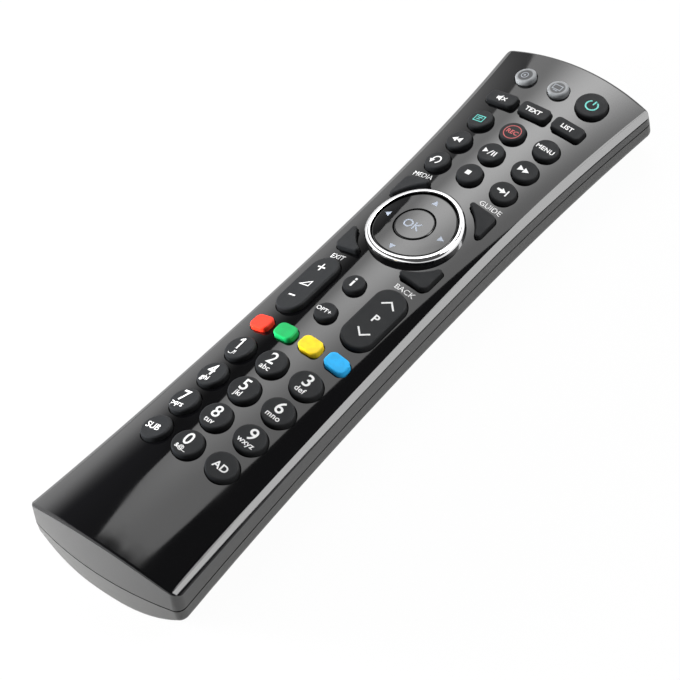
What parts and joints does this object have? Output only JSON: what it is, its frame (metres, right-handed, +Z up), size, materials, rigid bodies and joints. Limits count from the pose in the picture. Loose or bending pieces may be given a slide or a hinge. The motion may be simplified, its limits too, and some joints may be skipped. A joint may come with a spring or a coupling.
{
  "type": "television remote control",
  "caption": "Handheld remote control with rubber keys, a rocking direction pad in a bright ring, two rocker keys and a battery cover underneath.",
  "frame": {"origin": "middle of the footprint on the table, under the belly", "axes": "+Y towards the end that is pointed at the television, +X to the right of someone who holds it, +Z up out of the key face"},
  "size_m": [0.0592, 0.2292, 0.0257],
  "materials": {
    "gloss_black": "polished gloss black",
    "satin_grey": "satin mid grey",
    "cover_grey": "satin mid grey, fine texture",
    "key_rubber": "smooth dark grey",
    "key_clear": "frosted light grey rim, dark centre",
    "rocker_rubber": "matt dark grey",
    "red": "smooth red",
    "green": "smooth green",
    "yellow": "smooth yellow",
    "blue": "smooth light blue",
    "pad_gloss": "polished gloss black",
    "chrome": "bright plated",
    "carrier": "moulded black",
    "membrane": "moulded grey silicone",
    "board": "green laminate",
    "chip": "moulded black",
    "can": "plain can",
    "amber": "dipped amber",
    "led_tinted": "tinted clear lens",
    "led_white": "clear lens",
    "window": "dark infrared-clear",
    "steel": "plated steel",
    "cell_jacket": "plain printed jacket"
  },
  "bodies": {
    "housing": {"upper_shell": "gloss_black", "lower_shell": "satin_grey", "keypad_membrane": "membrane", "circuit_board": "board", "ir_led": "led_tinted", "controller_chip": "chip", "capacitor": "can", "resonator": "amber", "mode_leds": "led_white", "ir_window": "window", "housing_screws": "steel", "battery_left": "cell_jacket", "battery_right": "cell_jacket", "contact_springs": "steel", "contact_bridge": "steel", "contact_plates": "steel", "pad_trim_ring": "chrome"},
    "key_source_a": {"key_source_a": "key_clear"},
    "key_source_b": {"key_source_b": "key_clear"},
    "key_power": {"key_power": "key_rubber"},
    "key_mute": {"key_mute": "key_rubber"},
    "key_text": {"key_text": "key_rubber"},
    "key_list": {"key_list": "key_rubber"},
    "key_portal": {"key_portal": "key_rubber"},
    "key_record": {"key_record": "key_rubber"},
    "key_menu": {"key_menu": "key_rubber"},
    "key_rewind": {"key_rewind": "key_rubber"},
    "key_play_pause": {"key_play_pause": "key_rubber"},
    "key_fast_forward": {"key_fast_forward": "key_rubber"},
    "key_replay": {"key_replay": "key_rubber"},
    "key_stop": {"key_stop": "key_rubber"},
    "key_skip": {"key_skip": "key_rubber"},
    "key_media": {"key_media": "key_rubber"},
    "key_guide": {"key_guide": "key_rubber"},
    "key_exit": {"key_exit": "key_rubber"},
    "key_back": {"key_back": "key_rubber"},
    "key_info": {"key_info": "key_rubber"},
    "key_options": {"key_options": "key_rubber"},
    "key_red": {"key_red": "red"},
    "key_green": {"key_green": "green"},
    "key_yellow": {"key_yellow": "yellow"},
    "key_blue": {"key_blue": "blue"},
    "key_1": {"key_1": "key_rubber"},
    "key_2": {"key_2": "key_rubber"},
    "key_3": {"key_3": "key_rubber"},
    "key_4": {"key_4": "key_rubber"},
    "key_5": {"key_5": "key_rubber"},
    "key_6": {"key_6": "key_rubber"},
    "key_7": {"key_7": "key_rubber"},
    "key_8": {"key_8": "key_rubber"},
    "key_9": {"key_9": "key_rubber"},
    "key_sub": {"key_sub": "key_rubber"},
    "key_0": {"key_0": "key_rubber"},
    "key_ad": {"key_ad": "key_rubber"},
    "key_ok": {"key_ok": "pad_gloss"},
    "volume_rocker": {"volume_rocker": "rocker_rubber"},
    "programme_rocker": {"programme_rocker": "rocker_rubber"},
    "pad_carrier": {"pad_carrier": "carrier"},
    "direction_pad": {"direction_pad": "pad_gloss"},
    "battery_cover": {"battery_cover": "cover_grey"}
  },
  "joints": [
    {"name": "battery_cover_swing", "type": "hinge", "parent": "housing", "child": "battery_cover", "pos_m": [0, -0.1041, 0.00195], "axis": [-1, 0, 0], "range_deg": [0, 50]},
    {"name": "pad_tilt_fore_aft", "type": "hinge", "parent": "housing", "child": "pad_carrier", "pos_m": [0, 0.03012, 0.0185], "axis": [1, 0, 0], "range_deg": [-2.2, 2.2], "stiffness_Nm_per_rad": 0.45},
    {"name": "pad_tilt_sideways", "type": "hinge", "parent": "pad_carrier", "child": "direction_pad", "pos_m": [0, 0.03012, 0.0185], "axis": [0, 0.9996, -0.0297], "range_deg": [-2.2, 2.2], "stiffness_Nm_per_rad": 0.45},
    {"name": "volume_rocker_tilt", "type": "hinge", "parent": "housing", "child": "volume_rocker", "pos_m": [-0.013, -0.00492, 0.01954], "axis": [1, 0, 0], "range_deg": [-2.5, 2.5], "stiffness_Nm_per_rad": 0.35},
    {"name": "programme_rocker_tilt", "type": "hinge", "parent": "housing", "child": "programme_rocker", "pos_m": [0.013, -0.00492, 0.01954], "axis": [1, 0, 0], "range_deg": [-2.5, 2.5], "stiffness_Nm_per_rad": 0.35},
    {"name": "key_ok_press", "type": "slide", "parent": "housing", "child": "key_ok", "axis": [0, -0.0297, -0.9996], "range_m": [0, 0.0008], "stiffness_N_per_m": 1900},
    {"name": "key_source_a_press", "type": "slide", "parent": "housing", "child": "key_source_a", "axis": [0, -0.0297, -0.9996], "range_m": [0, 0.0008], "stiffness_N_per_m": 1900},
    {"name": "key_source_b_press", "type": "slide", "parent": "housing", "child": "key_source_b", "axis": [0, -0.0297, -0.9996], "range_m": [0, 0.0008], "stiffness_N_per_m": 1900},
    {"name": "key_power_press", "type": "slide", "parent": "housing", "child": "key_power", "axis": [0, -0.0297, -0.9996], "range_m": [0, 0.0008], "stiffness_N_per_m": 1900},
    {"name": "key_mute_press", "type": "slide", "parent": "housing", "child": "key_mute", "axis": [0, -0.0297, -0.9996], "range_m": [0, 0.0008], "stiffness_N_per_m": 1900},
    {"name": "key_text_press", "type": "slide", "parent": "housing", "child": "key_text", "axis": [0, -0.0297, -0.9996], "range_m": [0, 0.0008], "stiffness_N_per_m": 1900},
    {"name": "key_list_press", "type": "slide", "parent": "housing", "child": "key_list", "axis": [0, -0.0297, -0.9996], "range_m": [0, 0.0008], "stiffness_N_per_m": 1900},
    {"name": "key_portal_press", "type": "slide", "parent": "housing", "child": "key_portal", "axis": [0, -0.0297, -0.9996], "range_m": [0, 0.0008], "stiffness_N_per_m": 1900},
    {"name": "key_record_press", "type": "slide", "parent": "housing", "child": "key_record", "axis": [0, -0.0297, -0.9996], "range_m": [0, 0.0008], "stiffness_N_per_m": 1900},
    {"name": "key_menu_press", "type": "slide", "parent": "housing", "child": "key_menu", "axis": [0, -0.0297, -0.9996], "range_m": [0, 0.0008], "stiffness_N_per_m": 1900},
    {"name": "key_rewind_press", "type": "slide", "parent": "housing", "child": "key_rewind", "axis": [0, -0.0297, -0.9996], "range_m": [0, 0.0008], "stiffness_N_per_m": 1900},
    {"name": "key_play_pause_press", "type": "slide", "parent": "housing", "child": "key_play_pause", "axis": [0, -0.0297, -0.9996], "range_m": [0, 0.0008], "stiffness_N_per_m": 1900},
    {"name": "key_fast_forward_press", "type": "slide", "parent": "housing", "child": "key_fast_forward", "axis": [0, -0.0297, -0.9996], "range_m": [0, 0.0008], "stiffness_N_per_m": 1900},
    {"name": "key_replay_press", "type": "slide", "parent": "housing", "child": "key_replay", "axis": [0, -0.0297, -0.9996], "range_m": [0, 0.0008], "stiffness_N_per_m": 1900},
    {"name": "key_stop_press", "type": "slide", "parent": "housing", "child": "key_stop", "axis": [0, -0.0297, -0.9996], "range_m": [0, 0.0008], "stiffness_N_per_m": 1900},
    {"name": "key_skip_press", "type": "slide", "parent": "housing", "child": "key_skip", "axis": [0, -0.0297, -0.9996], "range_m": [0, 0.0008], "stiffness_N_per_m": 1900},
    {"name": "key_media_press", "type": "slide", "parent": "housing", "child": "key_media", "axis": [0, -0.0297, -0.9996], "range_m": [0, 0.0008], "stiffness_N_per_m": 1900},
    {"name": "key_guide_press", "type": "slide", "parent": "housing", "child": "key_guide", "axis": [0, -0.0297, -0.9996], "range_m": [0, 0.0008], "stiffness_N_per_m": 1900},
    {"name": "key_exit_press", "type": "slide", "parent": "housing", "child": "key_exit", "axis": [0, -0.0297, -0.9996], "range_m": [0, 0.0008], "stiffness_N_per_m": 1900},
    {"name": "key_back_press", "type": "slide", "parent": "housing", "child": "key_back", "axis": [0, -0.0297, -0.9996], "range_m": [0, 0.0008], "stiffness_N_per_m": 1900},
    {"name": "key_info_press", "type": "slide", "parent": "housing", "child": "key_info", "axis": [0, -0.0297, -0.9996], "range_m": [0, 0.0008], "stiffness_N_per_m": 1900},
    {"name": "key_options_press", "type": "slide", "parent": "housing", "child": "key_options", "axis": [0, -0.0297, -0.9996], "range_m": [0, 0.0008], "stiffness_N_per_m": 1900},
    {"name": "key_red_press", "type": "slide", "parent": "housing", "child": "key_red", "axis": [0, -0.0297, -0.9996], "range_m": [0, 0.0008], "stiffness_N_per_m": 1900},
    {"name": "key_green_press", "type": "slide", "parent": "housing", "child": "key_green", "axis": [0, -0.0297, -0.9996], "range_m": [0, 0.0008], "stiffness_N_per_m": 1900},
    {"name": "key_yellow_press", "type": "slide", "parent": "housing", "child": "key_yellow", "axis": [0, -0.0297, -0.9996], "range_m": [0, 0.0008], "stiffness_N_per_m": 1900},
    {"name": "key_blue_press", "type": "slide", "parent": "housing", "child": "key_blue", "axis": [0, -0.0297, -0.9996], "range_m": [0, 0.0008], "stiffness_N_per_m": 1900},
    {"name": "key_1_press", "type": "slide", "parent": "housing", "child": "key_1", "axis": [0, -0.0297, -0.9996], "range_m": [0, 0.0008], "stiffness_N_per_m": 1900},
    {"name": "key_2_press", "type": "slide", "parent": "housing", "child": "key_2", "axis": [0, -0.0297, -0.9996], "range_m": [0, 0.0008], "stiffness_N_per_m": 1900},
    {"name": "key_3_press", "type": "slide", "parent": "housing", "child": "key_3", "axis": [0, -0.0297, -0.9996], "range_m": [0, 0.0008], "stiffness_N_per_m": 1900},
    {"name": "key_4_press", "type": "slide", "parent": "housing", "child": "key_4", "axis": [0, -0.0297, -0.9996], "range_m": [0, 0.0008], "stiffness_N_per_m": 1900},
    {"name": "key_5_press", "type": "slide", "parent": "housing", "child": "key_5", "axis": [0, -0.0297, -0.9996], "range_m": [0, 0.0008], "stiffness_N_per_m": 1900},
    {"name": "key_6_press", "type": "slide", "parent": "housing", "child": "key_6", "axis": [0, -0.0297, -0.9996], "range_m": [0, 0.0008], "stiffness_N_per_m": 1900},
    {"name": "key_7_press", "type": "slide", "parent": "housing", "child": "key_7", "axis": [0, -0.0297, -0.9996], "range_m": [0, 0.0008], "stiffness_N_per_m": 1900},
    {"name": "key_8_press", "type": "slide", "parent": "housing", "child": "key_8", "axis": [0, -0.0297, -0.9996], "range_m": [0, 0.0008], "stiffness_N_per_m": 1900},
    {"name": "key_9_press", "type": "slide", "parent": "housing", "child": "key_9", "axis": [0, -0.0297, -0.9996], "range_m": [0, 0.0008], "stiffness_N_per_m": 1900},
    {"name": "key_sub_press", "type": "slide", "parent": "housing", "child": "key_sub", "axis": [0, -0.0297, -0.9996], "range_m": [0, 0.0008], "stiffness_N_per_m": 1900},
    {"name": "key_0_press", "type": "slide", "parent": "housing", "child": "key_0", "axis": [0, -0.0297, -0.9996], "range_m": [0, 0.0008], "stiffness_N_per_m": 1900},
    {"name": "key_ad_press", "type": "slide", "parent": "housing", "child": "key_ad", "axis": [0, -0.0297, -0.9996], "range_m": [0, 0.0008], "stiffness_N_per_m": 1900}
  ]
}
